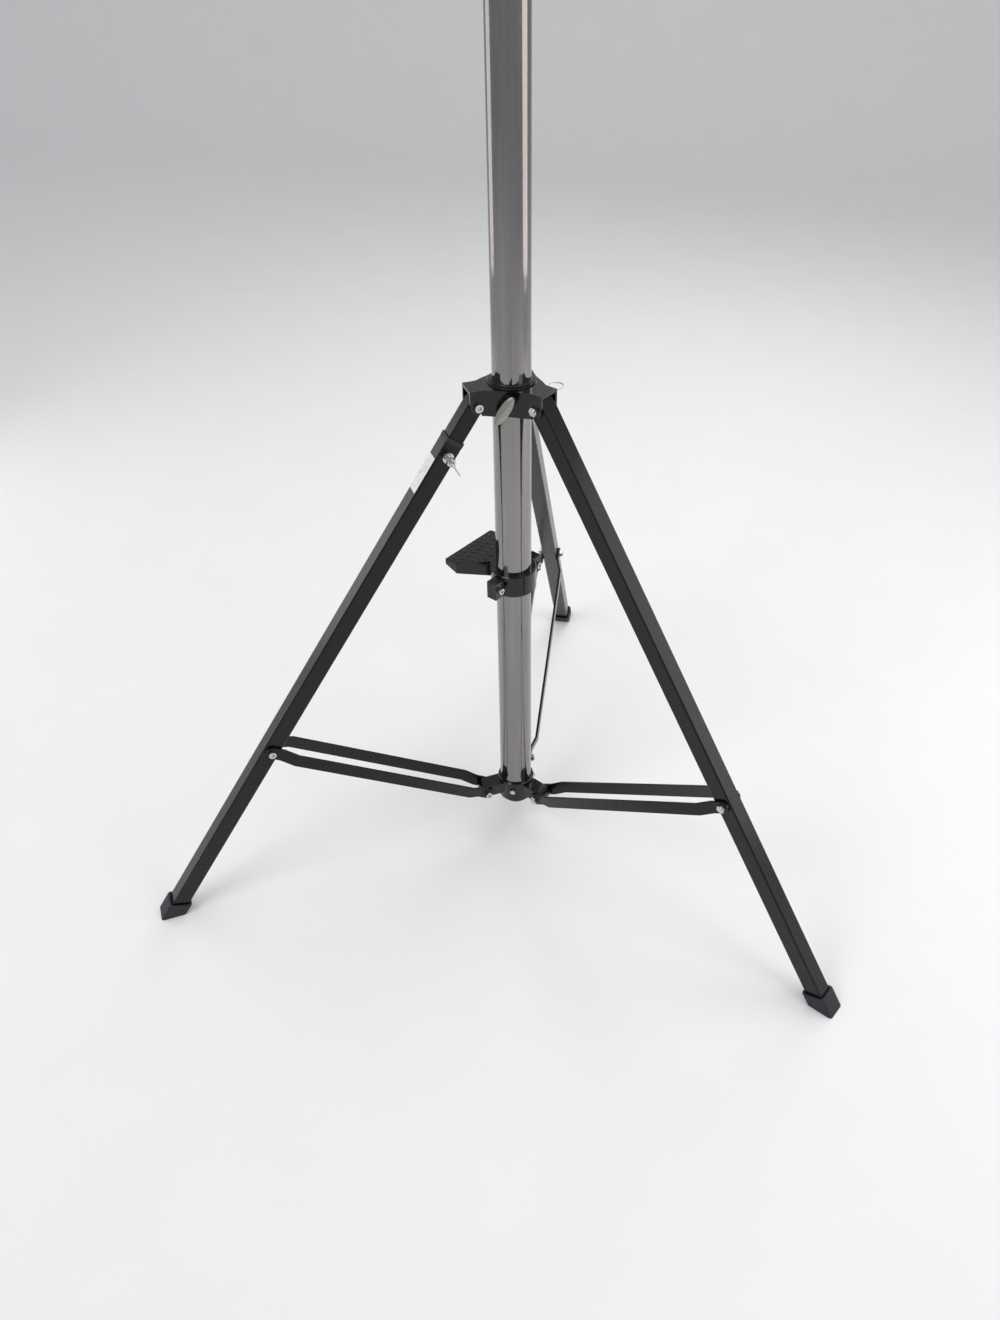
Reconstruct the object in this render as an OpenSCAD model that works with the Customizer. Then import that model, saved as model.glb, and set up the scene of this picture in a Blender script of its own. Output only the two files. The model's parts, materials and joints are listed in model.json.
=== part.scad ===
// Wind-up lighting stand: a chromed three-stage mast on a folding tripod with a levelling leg.
// Every module is modelled about the mast axis (x = 0, y = 0) with the floor at z = 0.

/* [Mast] */
// Outside diameter of the outer mast tube
mast_d = 60; // [48:1:72]
// Wall of the outer mast tube
mast_wall = 2; // [1.5:0.1:2.4]
// Height of the outer tube's bottom end above the floor
mast_bottom = 82; // [74:1:100]
// Height of the outer tube's top end above the floor
mast_top = 1625; // [1590:5:1900]

/* [Risers] */
// Outside diameter of the geared riser
riser_d = 50; // [42:1:52]
// Outside diameter of the top riser
top_d = 40; // [30:1:40]
// Wall of both risers
riser_wall = 2; // [1.5:0.1:2.4]
// Module of the rack and its pinion
tooth_module = 2; // [1.5:0.25:2]
// Number of teeth on the pinion
pinion_teeth = 15; // [12:1:18]
// Width of the rack
rack_w = 10; // [8:1:14]

/* [Hub] */
// Distance of the leg pivots from the mast axis
hub_r = 60; // [56:1:72]
// Angle of a spread leg from the vertical
leg_angle = 34.3; // [28:0.1:40]
// Width of a hub arm
hub_arm_w = 37.6; // [36:0.2:48]
// Radius of an ear around its pivot
ear_r = 12.5; // [10:0.5:16]
// Height of the hub's top face above the pivots
hub_rise = 25.5; // [24:0.5:32]

/* [Legs] */
// Side of the square leg tubes
leg_w = 30; // [25:0.5:31]
// Wall of the leg tubes
leg_wall = 1.5; // [1.2:0.1:2]
// Distance from a leg pivot to the floor, along the leg
leg_len = 1124.5; // [1000:5:1300]
// Distance from a leg pivot to its brace bolt, along the leg
brace_at = 703; // [600:5:780]
// Side of the levelling leg's inner tube
inner_w = 26.4; // [22:0.2:26.4]
// Distance from the leg pivot to the top of the levelling sleeve
sleeve_at = 62; // [50:1:90]
// Side of a rubber boot
boot_w = 39; // [36:1:44]
// Length of a rubber boot
boot_len = 33; // [28:1:40]

/* [Braces] */
// Distance of the brace pivots from the mast axis
collar_r = 64.7; // [60:0.5:80]
// Height of the brace pivots above the floor
collar_z = 106.5; // [100:0.5:125]
// Height of a brace bar's section
bar_h = 23; // [18:1:24]
// Thickness of a brace bar
bar_t = 4.5; // [3:0.5:6]
// Distance of the middle of a wide-set bar from the brace's middle
bar_offset = 26; // [24:0.5:34]

/* [Foot step] */
// Height of the tread above the floor
step_z = 619; // [600:1:680]
// Reach of the tread from the mast axis
step_reach = 104; // [90:1:120]
// Half width of the tread at its outer edge
step_half_w = 61; // [50:1:66]
// Height of the clamp band around the mast
band_h = 40; // [34:1:50]
// Thickness of the clamp band
band_t = 9; // [6:0.5:12]

/* [Crank] */
// Height of the crank shaft above the floor
crank_z = 1520; // [1500:5:1525]
// Length of the crank arm between centres
crank_len = 150; // [120:5:170]
// Diameter of the crank shaft
shaft_d = 14; // [10:1:16]
// Length of the crank grip
grip_len = 92; // [80:2:120]

/* [Head] */
// Bore of the lamp receiver
socket_bore = 28.6; // [28:0.1:30]
// Depth of the lamp receiver
socket_depth = 62; // [50:1:80]

/* [Fits] */
// Radial gap of a running or sliding fit
run = 0.06; // [0.02:0.01:0.1]
// Gap between neighbours that only pass each other
gap = 0.4; // [0.3:0.05:0.6]

/* [Hidden] */
$fn = 64;
mast_r = mast_d / 2;
mast_bore = mast_r - mast_wall;
riser_r = riser_d / 2;
riser_bore = riser_r - riser_wall;
top_r = top_d / 2;
pivot_bolt_d = 8;

// Tripod linkage in the plane of one leg: pivot height, brace bolt and floor point
hub_z = leg_len * cos(leg_angle);
bolt_r = hub_r + brace_at * sin(leg_angle);
bolt_z = hub_z - brace_at * cos(leg_angle);
brace_len = norm([bolt_r - collar_r, bolt_z - collar_z]);
brace_lift = atan2(bolt_z - collar_z, bolt_r - collar_r);
foot_r = hub_r + leg_len * sin(leg_angle);
boot_corner_r = foot_r + boot_w / 2 * cos(leg_angle);
// The mast stands off the footprint's middle, because one leg points back and two point forwards
mast_y = -(boot_corner_r - (foot_r / 2 + boot_w * 0.45)) / 2;
LEGS = [90, 330, 210];
REAR = 0;
RIGHT = 1;
LEFT = 2;

// Top collars: wall, height, lip above the tube's end, knob below the tube's end
collar_t = 7;
collar_h = 44;
collar_lip = 6;
knob_drop = 22;
MAST_KNOB = 150;
RISER_KNOB = 210;
HEAD_KNOB = 150;
socket_skirt = 18;

// Heights up the mast
collar_top = collar_z + 18.5;
hub_top = hub_z + hub_rise;
hub_bottom = hub_z - ear_r - 3;
hub_slot_r = hub_r - norm([leg_w / 2, ear_r + 2]) - gap;
bush_t = 2;
// Each collar rests a little above the one below it while the stand is closed
stack_gap = 1;
riser_bottom = mast_bottom + 34;
riser_top = mast_top + collar_h + stack_gap;
riser_len = riser_top - riser_bottom;
top_bottom = riser_bottom + 30;
head_z = riser_top + collar_lip + socket_skirt + stack_gap;
top_len = head_z - top_bottom;

// Rack and pinion: the rack's pitch line and the pinion's axis, measured forwards from the mast axis
rack_tip = mast_bore - 0.8;
rack_pitch = rack_tip - tooth_module;
rack_base = top_r + 0.5;
pinion_r = tooth_module * pinion_teeth / 2;
shaft_y = -(rack_pitch + pinion_r);
tooth_pitch = PI * tooth_module;
rack_from = riser_bottom + 70;
rack_to = riser_top - 60;
// A gap of the rack faces the pinion's tooth
pinion_phase = 360 / pinion_teeth * ((rack_from - crank_z) / tooth_pitch + 0.5);

// Drive housing
housing_half = 30;
housing_h = 62;
sleeve_t = 6;
sleeve_h = 92;
housing_front = shaft_y - 27;
plate_t = 4;
plate_back = -22;
crank_x = housing_half + plate_t + 14;

// ---- shared shapes ----

// Everything on the mast, moved to its place in the part's frame
module at_mast() {
    translate([0, mast_y, 0]) children();
}

// Plane of leg i: +X outwards, +Z up
module at_leg(i) {
    at_mast() rotate([0, 0, LEGS[i]]) children();
}

// Leg i's own line: +X down the leg from its pivot, +Z its outer face
module along_leg(i) {
    at_leg(i) translate([hub_r, 0, hub_z]) rotate([0, 90 - leg_angle, 0]) children();
}

// Leg i's brace: +X from the collar pivot to the leg
module along_brace(i) {
    at_leg(i) translate([collar_r, 0, collar_z]) rotate([0, -brace_lift, 0]) children();
}

// Cylinder on the Y axis, from y0 to y1
module rod_y(r, y0, y1) {
    translate([0, y0, 0]) rotate([-90, 0, 0]) cylinder(r = r, h = y1 - y0);
}

// Cylinder on the X axis, from x0 to x1
module rod_x(r, x0, x1) {
    translate([x0, 0, 0]) rotate([0, 90, 0]) cylinder(r = r, h = x1 - x0);
}

// Ring about the Z axis with its top and bottom outer edges broken
module ring(r_out, r_in, z0, z1, chamfer = 0.8) {
    c = min(chamfer, (r_out - r_in) / 3);
    rotate_extrude() polygon([[r_in, z0], [r_out - c, z0], [r_out, z0 + c],
        [r_out, z1 - c], [r_out - c, z1], [r_in, z1]]);
}

// Square with round corners, centred
module round_square(w, r) {
    square([w, w - 2 * r], center = true);
    square([w - 2 * r, w], center = true);
    for (x = [-1, 1], y = [-1, 1]) translate([x * (w / 2 - r), y * (w / 2 - r)]) circle(r);
}

// Square tube from x0 to x1 along X
module square_tube(w, wall, x0, x1, r = 3) {
    translate([x0, 0, 0]) rotate([0, 90, 0]) linear_extrude(x1 - x0) difference() {
        round_square(w, r);
        round_square(w - 2 * wall, r - wall / 2);
    }
}

// Hexagon head or nut along Y from y0, growing by h (either sign)
module hex_y(across, y0, h) {
    translate([0, min(y0, y0 + h), 0]) rotate([-90, 0, 0])
        cylinder(d = across / cos(30), h = abs(h), $fn = 6);
}

// Socket head along Y: outer face at y0 + h (either sign)
module socket_head_y(r, y0, h) {
    difference() {
        rod_y(r, min(y0, y0 + h), max(y0, y0 + h));
        hex_y(r, y0 + h, -h * 0.55);
    }
}

// Screw on the X axis: shank from x0 to x1, hexagon head of height h beyond x1
module hex_screw_x(d, x0, x1, h) {
    rod_x(d / 2, x0, x1);
    translate([x1, 0, 0]) rotate([0, 90, 0]) cylinder(d = d * 1.8, h = h, $fn = 6);
}

// ---- outer mast ----

module outer_tube() color("gainsboro") at_mast() difference() {
    translate([0, 0, mast_bottom]) cylinder(r = mast_r, h = mast_top - mast_bottom);
    translate([0, 0, mast_bottom - 1]) cylinder(r = mast_bore, h = mast_top - mast_bottom + 2);
    // window where the pinion reaches the rack
    translate([-rack_w / 2 - 2, -mast_r - 1, crank_z - pinion_r - 4])
        cube([rack_w + 4, mast_r, 2 * pinion_r + 8]);
    // hole for the riser lock
    translate([0, 0, mast_top - knob_drop]) rotate([0, 0, MAST_KNOB]) rod_x(6, 0, mast_r + 1);
}

module lower_collar() color("#16171a") at_mast() difference() {
    union() {
        ring(mast_r + 4.5, mast_r, mast_bottom, collar_top, 3);
        for (a = LEGS) rotate([0, 0, a]) {
            translate([mast_r + 1, -15, collar_z - ear_r]) cube([collar_r - mast_r - 1, 30, 2 * ear_r]);
            translate([collar_r, 0, collar_z]) rod_y(ear_r, -15, 15);
        }
    }
    translate([0, 0, mast_bottom - 1]) cylinder(r = mast_r, h = 60);
    for (a = LEGS) rotate([0, 0, a]) {
        translate([collar_r, 0, collar_z]) rod_y(pivot_bolt_d / 2, -20, 20);
        translate([0, 0, collar_z]) rotate([0, 0, 60]) rod_x(3, mast_r - 1, mast_r + 12);
    }
}

// Domed plug in the tube's bottom end
module base_plug() color("#101114") at_mast() {
    flange_z = mast_bottom - 4;
    dome_r = mast_r + 5;
    translate([0, 0, flange_z]) cylinder(r = mast_r + 3.5, h = 4);
    translate([0, 0, mast_bottom]) cylinder(r = mast_bore, h = 20);
    intersection() {
        translate([0, 0, flange_z + 14]) sphere(r = dome_r);
        translate([0, 0, flange_z - 40]) cylinder(r = mast_r + 2, h = 40);
    }
}

module collar_screws() color("silver") at_mast()
    for (a = LEGS) rotate([0, 0, a + 60]) translate([0, 0, collar_z])
        hex_screw_x(6, mast_r, mast_r + 4.6, 4.5);

module brace_pivot_bolts() color("silver") for (i = [0:2]) at_leg(i) translate([collar_r, 0, collar_z])
    through_bolt(15 + 2 * gap + bar_t);

// Bolt on the Y axis with a socket head and a nut against faces at +half and -half
module through_bolt(half) {
    rod_y(pivot_bolt_d / 2, -half - 7, half + 1);
    socket_head_y(6.5, half, 6);
    hex_y(13, -half, -5.5);
}

// ---- foot step ----

// The step points to the back left, between the left leg and the rear leg: +X outwards
module at_step() {
    at_mast() rotate([0, 0, 150]) children();
}

// The step casting's ears are thin, so that the folded legs pass them
ear_back = 8;

module band_half(side) {
    intersection() {
        union() {
            ring(mast_r + band_t, mast_r, step_z - band_h, step_z, 1.5);
            for (s = [-1, 1]) translate([-11, s * (mast_r + 19) - 11, step_z - band_h + 4])
                cube([11 + ear_back, 22, band_h - 8]);
        }
        translate([side > 0 ? gap : -99, -99, 0]) cube([99 - gap, 198, 2000]);
    }
}

module band_bore() {
    translate([0, 0, step_z - band_h - 1]) cylinder(r = mast_r, h = band_h + 2);
    for (s = [-1, 1]) translate([0, s * (mast_r + 20), step_z - band_h / 2]) rod_x(3.2, -20, 20);
}

module step_plate() color("#2a2422") at_step() difference() {
    union() {
        band_half(1);
        // tread: narrow at the mast, wide and straight at the outer edge
        translate([0, 0, step_z - 5]) linear_extrude(5) tread_outline();
        // skirt that hangs from the tread's edge and deepens towards the mast
        intersection() {
            translate([0, 0, step_z - band_h]) linear_extrude(band_h) difference() {
                tread_outline();
                tread_inner();
            }
            rotate([90, 0, 0]) translate([0, 0, -80]) linear_extrude(160)
                polygon([[mast_r, step_z], [mast_r, step_z - 34], [step_reach - 28, step_z - 17],
                    [step_reach + 1, step_z - 6], [step_reach + 1, step_z]]);
        }
        // two ribs under the tread
        for (s = [-1, 1]) intersection() {
            translate([mast_r + 2, s * 13 - 2, step_z - band_h])
                cube([step_reach - mast_r - 8, 4, band_h - 2]);
            rotate([90, 0, 0]) translate([0, 0, -80]) linear_extrude(160)
                polygon([[mast_r, step_z], [mast_r, step_z - 32], [step_reach - 28, step_z - 15],
                    [step_reach, step_z - 5], [step_reach, step_z]]);
        }
        tread_dashes();
    }
    band_bore();
}

module tread_outline() polygon([[mast_r - 4, -15], [mast_r + 10, -15], [step_reach - 28, -step_half_w],
    [step_reach - 3, -step_half_w], [step_reach, -step_half_w + 3], [step_reach, step_half_w - 3],
    [step_reach - 3, step_half_w], [step_reach - 28, step_half_w], [mast_r + 10, 15], [mast_r - 4, 15]]);

module tread_inner() polygon([[0, -11], [mast_r + 11, -11], [step_reach - 27, -step_half_w + 4],
    [step_reach - 4, -step_half_w + 4], [step_reach - 4, step_half_w - 4],
    [step_reach - 27, step_half_w - 4], [mast_r + 11, 11], [0, 11]]);

// Raised dashes that stop a shoe slipping, in rows that lean alternately
module tread_dashes() for (row = [0:3], col = [-4:4]) {
    x = mast_r + 20 + row * 15;
    y = col * 13 + (row % 2) * 6.5;
    if (abs(y) < min(step_half_w - 8, 9 + (x - mast_r - 10) * 1.25) && x < step_reach - 6)
        translate([x, y, step_z - 0.5]) rotate([0, 0, row % 2 == 0 ? 40 : -40])
            cube([8, 2.2, 2.6], center = true);
}

module step_clamp() color("#141518") at_step() difference() {
    band_half(-1);
    band_bore();
}

module step_bolts() color("silver") at_step() for (s = [-1, 1])
    translate([0, s * (mast_r + 20), step_z - band_h / 2]) rotate([0, 0, 90]) {
        rod_y(3.2, -ear_back, 12);
        socket_head_y(5.5, 11, 6);
    }

// ---- hub ----

module hub_outline() difference() {
    union() {
        for (a = LEGS) rotate(a) translate([0, -hub_arm_w / 2]) square([hub_r + ear_r, hub_arm_w]);
        // web between the arms; its corners lie just inside them
        polygon([for (a = [90, 210, 330], s = [-1, 1])
            let (r = hub_r - 7, w = s * (hub_arm_w / 2 - 1.2))
                [r * cos(a) - w * sin(a), r * sin(a) + w * cos(a)]]);
    }
    for (a = [30, 150, 270]) rotate(a) translate([mast_r + 10 + 120, 0]) circle(r = 120, $fn = 128);
}

module hub_casting() color("#17181b") at_mast() difference() {
    union() {
        difference() {
            translate([0, 0, hub_bottom]) linear_extrude(hub_top - hub_bottom) hub_outline();
            // ears are rounded around the pivots
            for (a = LEGS) rotate([0, 0, a]) difference() {
                translate([hub_r - 6, -30, hub_bottom - 1]) cube([30, 60, hub_z - hub_bottom + 1]);
                translate([hub_r, 0, hub_z]) rod_y(ear_r, -31, 31);
            }
        }
        ring(mast_r + 8, mast_r + bush_t, hub_bottom, hub_top + 3, 1.5);
        for (a = [270, 30]) rotate([0, 0, a]) translate([0, 0, hub_z + 4]) rod_x(9, mast_r + 4, mast_r + 17);
    }
    translate([0, 0, hub_bottom - 5]) cylinder(r = mast_r + bush_t, h = 99);
    for (a = LEGS) rotate([0, 0, a]) {
        // slot that takes the leg's top end, open below and outwards
        translate([hub_slot_r, -leg_w / 2 - gap, hub_bottom - 1])
            cube([99, leg_w + 2 * gap, hub_z - hub_bottom + 1 + norm([leg_w / 2, ear_r + 2]) + gap]);
        translate([hub_r, 0, hub_z]) rod_y(pivot_bolt_d / 2, -30, 30);
    }
    for (a = [270, 30]) rotate([0, 0, a]) translate([0, 0, hub_z + 4]) rod_x(4.2, mast_r, mast_r + 40);
}

module hub_bush() color("#0d0d0e") at_mast() difference() {
    union() {
        ring(mast_r + bush_t, mast_r + run, hub_bottom - 1.5, hub_top + 4.5, 0.3);
        ring(mast_r + 4, mast_r + run, hub_bottom - 3, hub_bottom, 0.5);
        ring(mast_r + 4, mast_r + run, hub_top + 3, hub_top + 4.5, 0.5);
    }
    for (a = [270, 30]) rotate([0, 0, a]) translate([0, 0, hub_z + 4]) rod_x(4.2, mast_r - 1, mast_r + 40);
}

module leg_pivot_bolts() color("silver") for (i = [0:2]) at_leg(i) translate([hub_r, 0, hub_z])
    through_bolt(hub_arm_w / 2);

// Clamp knob at the front: a screw with a cast wing
module wing_knob() color("#8c8c88") at_mast() rotate([0, 0, 270]) translate([0, 0, hub_z + 4]) {
    rod_x(4, mast_r + gap, mast_r + 22);
    rod_x(7.5, mast_r + 19, mast_r + 31);
    translate([mast_r + 31, 0, 0]) rotate([-30, 0, 0]) wing(27, 8.5);
}

// Lens-shaped wing in the YZ plane, from x = -4 to x = 5
module wing(half_l, half_w) {
    r = (half_l * half_l + half_w * half_w) / (2 * half_w);
    rotate([0, 90, 0]) translate([0, 0, -4]) linear_extrude(9) intersection() {
        translate([0, r - half_w]) circle(r = r);
        translate([0, half_w - r]) circle(r = r);
    }
}

// The hub's plunger stands between the right leg and the rear leg
module at_hub_pin() {
    at_mast() rotate([0, 0, 30]) translate([mast_r, 0, hub_z + 4]) children();
}

module hub_pin_barrel() color("silver") at_hub_pin() plunger_barrel(gap + 3, 24);

module hub_pin() color("#c9c9c4") at_hub_pin() plunger_pin(gap, 24);

module hub_pin_ring() color("silver") at_hub_pin() plunger_ring(24);

module hub_pin_spring() color("dimgray") at_hub_pin() plunger_spring(gap + 11, 21);

// Sleeve along X whose outer end is at x1, closed around the pin's stem
module plunger_barrel(x0, x1) {
    difference() {
        union() {
            rod_x(4.2, x0, x1);
            translate([x1 - 7, 0, 0]) rotate([0, 90, 0]) cylinder(d = 15, h = 5, $fn = 6);
            rod_x(6, x1 - 2, x1);
        }
        rod_x(3.3, x0 - 1, x1 - 2);
        rod_x(2 + run, x0, x1 + 1);
    }
}

// Pin with a wider nose at x0 and a stem that ends in an eye beyond x1
module plunger_pin(x0, x1) {
    difference() {
        union() {
            rod_x(3.3 - run, x0, x0 + 10);
            rod_x(2, x0 + 9, x1 + 9);
            rod_x(3.6, x1 + 0.2, x1 + 8);
        }
        // eye, wide enough for the ring's curve
        translate([x1 + 5, 0, 0]) rod_y(1.6, -9, 9);
    }
}

// Wire ring through the pin's eye
module plunger_ring(x1) {
    translate([x1 + 5, 0, 0]) {
        rod_y(1, -3.6, 3.6);
        translate([12.4, 0, 0]) rotate_extrude() translate([12.4, 0]) circle(r = 1, $fn = 24);
    }
}

// Compression spring inside the barrel, around the stem
module plunger_spring(x0, x1) {
    n = 5;
    step = (x1 - x0) / n;
    for (k = [0:n - 1]) translate([x0 + (k + 0.5) * step, 0, 0]) rotate([0, 90, 0])
        rotate_extrude() translate([2.7, 0]) circle(r = 0.4, $fn = 16);
}

// ---- legs ----

leg_top = -14;
// The tube stops short of the floor by the boot's sole, and its low corner still clears it
leg_end = leg_len - (leg_w / 2 * sin(leg_angle) + 7) / cos(leg_angle);
boot_from = leg_len - boot_len + 6;

// Holes for the pivot bolt and the brace spacer
module leg_holes(w) {
    rod_y(pivot_bolt_d / 2 + run, -w, w);
    translate([brace_at, 0, 0]) rod_y(6, -w, w);
}

module plain_leg(i) color("#1b1b1d") along_leg(i) difference() {
    square_tube(leg_w, leg_wall, leg_top, leg_end);
    leg_holes(leg_w);
}

module rear_leg_tube() plain_leg(REAR);

module right_leg_tube() plain_leg(RIGHT);

// Upper tube of the levelling leg, which the sleeve slides on
module left_inner_tube() color("#1b1b1d") along_leg(LEFT) difference() {
    square_tube(inner_w, leg_wall, leg_top, brace_at - 40, 2.5);
    leg_holes(leg_w);
    // latch holes for the pull pin
    for (k = [0:5]) translate([level_at + k * 25, 0, 0]) rod_y(3.6, -leg_w, 0);
}

module left_leg_sleeve() color("#1b1b1d") along_leg(LEFT) difference() {
    square_tube(leg_w, leg_wall, sleeve_at + 8, leg_end);
    translate([brace_at, 0, 0]) rod_y(6, -leg_w, leg_w);
    translate([level_at, 0, 0]) rod_y(4.2, leg_w / 2 - 4, leg_w);
}

// Nylon guide in the sleeve's mouth
module left_leg_bush() color("#0c0c0d") along_leg(LEFT)
    square_ring(leg_w + 0.6, inner_w + 2 * run, sleeve_at, sleeve_at + 8);

// Square ring along X from x0 to x1
module square_ring(w_out, w_in, x0, x1) {
    translate([x0, 0, 0]) rotate([0, 90, 0]) linear_extrude(x1 - x0) difference() {
        round_square(w_out, 3);
        round_square(w_in, 2.5);
    }
}

level_at = sleeve_at + 28;

// The pull pin stands on the sleeve's front side
module at_level_pin() {
    along_leg(LEFT) translate([level_at, inner_w / 2, 0]) rotate([0, 0, 90]) children();
}

module level_pin_barrel() color("silver") at_level_pin() difference() {
    union() {
        plunger_barrel(gap + 1.4, 24);
        rod_x(9, (leg_w - inner_w) / 2, (leg_w - inner_w) / 2 + 5);
    }
    rod_x(3.3, gap + 1, 21);
}

module level_pin() color("#c9c9c4") at_level_pin() rotate([60, 0, 0]) plunger_pin(gap, 24);

module level_pin_ring() color("silver") at_level_pin() rotate([60, 0, 0]) plunger_ring(24);

module level_pin_spring() color("dimgray") at_level_pin() plunger_spring(gap + 11, 21);

// Plain plate with a raised border on the outer face
module leg_label() color("white") along_leg(LEFT) translate([sleeve_at + 72, 0, leg_w / 2 + 0.25])
    cube([64, 24, 0.5], center = true);

module boot(i) color("#14161f") along_leg(i) difference() {
    intersection() {
        translate([boot_from - 40, 0, 0]) rotate([0, 90, 0]) linear_extrude(130) round_square(boot_w, 5);
        // the rim leans half way to level
        translate([boot_from, 0, boot_w / 2]) rotate([0, leg_angle / 2, 0]) translate([0, -50, -100])
            cube([150, 100, 200]);
        // the sole is flat on the floor
        rotate([0, leg_angle - 90, 0]) translate([-300, -300, -hub_z]) cube([1200, 600, 700]);
    }
    translate([boot_from - 60, 0, 0]) rotate([0, 90, 0]) linear_extrude(leg_end - boot_from + 60)
        round_square(leg_w, 3);
}

module rear_boot() boot(REAR);

module right_boot() boot(RIGHT);

module left_boot() boot(LEFT);

// Tube across the leg that keeps the brace bolt from crushing it
module spacer(i) color("silver") along_leg(i) translate([brace_at, 0, 0]) difference() {
    rod_y(6, -leg_w / 2, leg_w / 2);
    rod_y(pivot_bolt_d / 2 + gap, -leg_w, leg_w);
}

module rear_spacer() spacer(REAR);

module right_spacer() spacer(RIGHT);

module left_spacer() spacer(LEFT);

// ---- braces ----

// A pair of flat bars on edge: close together at both ends and wide apart between
module brace_bars(i) color("#121214") along_brace(i) for (s = [-1, 1]) difference() {
    intersection() {
        translate([0, 0, -bar_h / 2]) linear_extrude(bar_h) bar_plan(s);
        rotate([90, 0, 0]) linear_extrude(99, center = true) union() {
            translate([0, -bar_h / 2]) square([brace_len, bar_h]);
            for (x = [0, brace_len]) translate([x, 0]) circle(d = bar_h);
        }
    }
    rod_y(pivot_bolt_d / 2 + run, -40, 40);
    translate([brace_len, 0, 0]) rod_y(pivot_bolt_d / 2, -40, 40);
}

module bar_plan(s) {
    near = leg_w / 2 + gap + bar_t / 2;
    path = [[-20, near], [18, near], [42, bar_offset], [brace_len - 46, bar_offset],
        [brace_len - 20, near], [brace_len + 20, near]];
    t = bar_t / 2;
    scale([1, s]) polygon(concat([for (p = path) [p[0], p[1] + t]],
        [for (k = [5:-1:0]) [path[k][0], path[k][1] - t]]));
}

module rear_brace_bars() brace_bars(REAR);

module right_brace_bars() brace_bars(RIGHT);

module left_brace_bars() brace_bars(LEFT);

// Head and nut of the brace bolt, each with the length that fills its bar
module brace_bolt(i) color("silver") along_brace(i) translate([brace_len, 0, 0]) {
    inner = leg_w / 2 + gap;
    outer = inner + bar_t;
    rod_y(pivot_bolt_d / 2, inner, outer + 0.5);
    socket_head_y(6.5, outer, 6);
    rod_y(pivot_bolt_d / 2, -outer - 7, -inner);
    hex_y(13, -outer, -5.5);
}

module rear_brace_bolt() brace_bolt(REAR);

module right_brace_bolt() brace_bolt(RIGHT);

module left_brace_bolt() brace_bolt(LEFT);

// ---- crank drive ----

module at_shaft() {
    at_mast() translate([0, shaft_y, crank_z]) children();
}

module drive_housing() color("#1a1b1e") at_mast() difference() {
    union() {
        translate([0, 0, crank_z]) ring(mast_r + sleeve_t, mast_r, -sleeve_h / 2, sleeve_h / 2, 1.5);
        translate([-housing_half, housing_front, crank_z - housing_h / 2])
            cube([2 * housing_half, -housing_front - 12, housing_h]);
        // ears of the split at the back
        for (s = [-1, 1]) translate([s * 6.7 - 4.7, mast_r + 2, crank_z - sleeve_h / 2 + 4])
            cube([9.4, 20, sleeve_h - 8]);
    }
    translate([0, 0, crank_z - 60]) cylinder(r = mast_r, h = 120);
    translate([-2, 0, crank_z - 60]) cube([4, 80, 120]);
    // chamber of the pinion, open to the right; bearing and brake chamber to the left
    translate([0, shaft_y, crank_z]) {
        rod_x(pinion_r + tooth_module + 1.5, -10, housing_half + 1);
        rod_x(shaft_d / 2 + 3, -20, 0);
        rod_x(15, -housing_half - 1, -14);
    }
    for (z = [-26, 26]) translate([0, mast_r + 13, crank_z + z]) rod_x(3.2, -30, 30);
    cover_holes() rod_x(2.1, housing_half - 14, housing_half + 1);
}

module cover_holes() for (y = [-20, 9], z = [-24, 24])
    at_shaft_local() translate([0, y, z]) children();

module at_shaft_local() {
    translate([0, shaft_y, crank_z]) children();
}

// Two clamp bolts at the back and four cover screws at the side
module housing_screws() color("silver") at_mast() {
    for (z = [-26, 26]) translate([0, mast_r + 13, crank_z + z]) rotate([0, 0, -90]) {
        rod_y(3.2, -11.4, 12);
        socket_head_y(5.5, 11.4, 6);
        hex_y(10, -11.4, -5);
    }
    cover_holes() {
        rod_x(2.1, housing_half - 12, housing_half + plate_t + 1);
        difference() {
            rod_x(4, housing_half + plate_t, housing_half + plate_t + 4);
            translate([housing_half + plate_t + 2, 0, 0]) rotate([0, 90, 0])
                cylinder(d = 4.4, h = 3, $fn = 6);
        }
    }
}

module drive_cover() color("#1a1b1e") at_mast() difference() {
    union() {
        translate([housing_half, housing_front, crank_z - housing_h / 2])
            cube([plate_t, plate_back - housing_front, housing_h]);
        at_shaft_local() rod_x(shaft_d / 2 + 7, housing_half, housing_half + plate_t + 6);
    }
    at_shaft_local() rod_x(shaft_d / 2 + 3, housing_half - 1, housing_half + 20);
    cover_holes() rod_x(2.6, housing_half - 1, housing_half + 9);
}

module shaft_bushes() color("#b08d57") at_shaft() {
    tube_x(shaft_d / 2 + 3, shaft_d / 2 + run, -14, -10);
    tube_x(shaft_d / 2 + 3, shaft_d / 2 + run, housing_half, housing_half + plate_t + 6);
}

// Tube on the X axis
module tube_x(r_out, r_in, x0, x1) {
    difference() {
        rod_x(r_out, x0, x1);
        rod_x(r_in, x0 - 1, x1 + 1);
    }
}

module brake_cap() color("#101114") at_shaft() difference() {
    union() {
        rod_x(18, -housing_half - 3, -housing_half);
        rod_x(15, -housing_half - 1, -18);
        rod_x(17, -housing_half - 9, -housing_half - 2);
    }
    rod_x(12.5, -housing_half - 6, -17);
}

module crank_shaft() color("silver") at_shaft() {
    rod_x(shaft_d / 2, -housing_half - 5, crank_x + 8);
    rod_x(shaft_d / 2 + 2.5, housing_half + plate_t + 6.4, housing_half + plate_t + 7.8);
    translate([crank_x + 8, 0, 0]) rotate([0, 90, 0]) cylinder(d = shaft_d + 5, h = 7, $fn = 6);
}

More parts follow.
